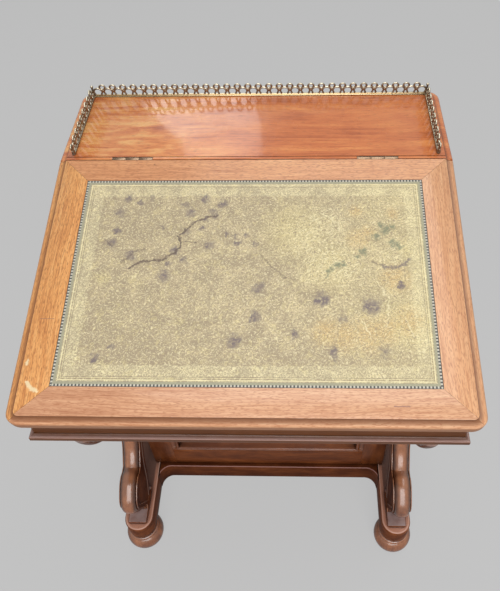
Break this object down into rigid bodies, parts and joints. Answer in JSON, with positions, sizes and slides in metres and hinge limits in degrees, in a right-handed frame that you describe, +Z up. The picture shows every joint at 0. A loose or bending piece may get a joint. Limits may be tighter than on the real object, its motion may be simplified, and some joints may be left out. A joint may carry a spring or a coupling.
{
  "type": "davenport desk",
  "caption": "Davenport writing desk with a hinged sloping leather-topped lid over a box, a galleried shelf, side drawers, scroll supports and bun feet.",
  "frame": {"origin": "on the floor, under the middle of the desk's overall box", "axes": "+X to the right as seen by the sitter, +Y to the back, +Z up"},
  "size_m": [0.5718, 0.5316, 0.7985],
  "materials": {
    "polished_mahogany": "French polished mahogany",
    "dark_mahogany": "dark French polished mahogany",
    "drawer_lining": "waxed lining wood",
    "brass": "aged polished brass",
    "leather": "worn tooled leather"
  },
  "bodies": {
    "carcass": {"left_runner": "dark_mahogany", "right_runner": "dark_mahogany", "plinth_front_rail": "dark_mahogany", "plinth_back_rail": "dark_mahogany", "front_left_foot": "dark_mahogany", "front_right_foot": "dark_mahogany", "back_left_foot": "dark_mahogany", "back_right_foot": "dark_mahogany", "left_support_block": "dark_mahogany", "right_support_block": "dark_mahogany", "left_scroll_support": "dark_mahogany", "right_scroll_support": "dark_mahogany", "cabinet_front_frame": "dark_mahogany", "cabinet_front_panel": "dark_mahogany", "cabinet_panel_moulding": "dark_mahogany", "cabinet_back_panel": "dark_mahogany", "cabinet_left_side": "dark_mahogany", "cabinet_floor": "drawer_lining", "drawer_divider_1": "drawer_lining", "drawer_divider_2": "drawer_lining", "drawer_divider_3": "drawer_lining", "dummy_knob_1": "dark_mahogany", "dummy_knob_2": "dark_mahogany", "dummy_knob_3": "dark_mahogany", "dummy_knob_4": "dark_mahogany", "box_front": "polished_mahogany", "box_left_side": "polished_mahogany", "box_right_side": "polished_mahogany", "box_back": "polished_mahogany", "box_bottom": "drawer_lining", "box_moulding": "polished_mahogany", "pigeonhole_frame": "drawer_lining", "shelf": "polished_mahogany", "brass_gallery": "brass", "left_hinge_shelf_leaf": "brass", "right_hinge_shelf_leaf": "brass", "left_hinge_pin": "brass", "right_hinge_pin": "brass"},
    "lid": {"lid_front_rail": "polished_mahogany", "lid_back_rail": "polished_mahogany", "lid_left_stile": "polished_mahogany", "lid_right_stile": "polished_mahogany", "lid_panel": "polished_mahogany", "leather_top": "leather", "left_hinge_lid_leaf": "brass", "right_hinge_lid_leaf": "brass"},
    "drawer_1": {"drawer_front_1": "dark_mahogany", "drawer_tray_1": "drawer_lining", "drawer_knob_1": "dark_mahogany"},
    "drawer_2": {"drawer_front_2": "dark_mahogany", "drawer_tray_2": "drawer_lining", "drawer_knob_2": "dark_mahogany"},
    "drawer_3": {"drawer_front_3": "dark_mahogany", "drawer_tray_3": "drawer_lining", "drawer_knob_3": "dark_mahogany"},
    "drawer_4": {"drawer_front_4": "dark_mahogany", "drawer_tray_4": "drawer_lining", "drawer_knob_4": "dark_mahogany"},
    "little_drawer_left": {"little_drawer_left": "drawer_lining"},
    "little_drawer_right": {"little_drawer_right": "drawer_lining"}
  },
  "joints": [
    {"name": "lid_hinge", "type": "hinge", "parent": "carcass", "child": "lid", "pos_m": [0, 0.10257, 0.7741], "axis": [-1, 0, 0], "range_deg": [0, 105]},
    {"name": "drawer_1_slide", "type": "slide", "parent": "carcass", "child": "drawer_1", "axis": [1, 0, 0], "range_m": [0, 0.28]},
    {"name": "drawer_2_slide", "type": "slide", "parent": "carcass", "child": "drawer_2", "axis": [1, 0, 0], "range_m": [0, 0.28]},
    {"name": "drawer_3_slide", "type": "slide", "parent": "carcass", "child": "drawer_3", "axis": [1, 0, 0], "range_m": [0, 0.28]},
    {"name": "drawer_4_slide", "type": "slide", "parent": "carcass", "child": "drawer_4", "axis": [1, 0, 0], "range_m": [0, 0.28]},
    {"name": "little_drawer_left_slide", "type": "slide", "parent": "carcass", "child": "little_drawer_left", "axis": [0, -1, 0], "range_m": [0, 0.1]},
    {"name": "little_drawer_right_slide", "type": "slide", "parent": "carcass", "child": "little_drawer_right", "axis": [0, -1, 0], "range_m": [0, 0.1]}
  ]
}
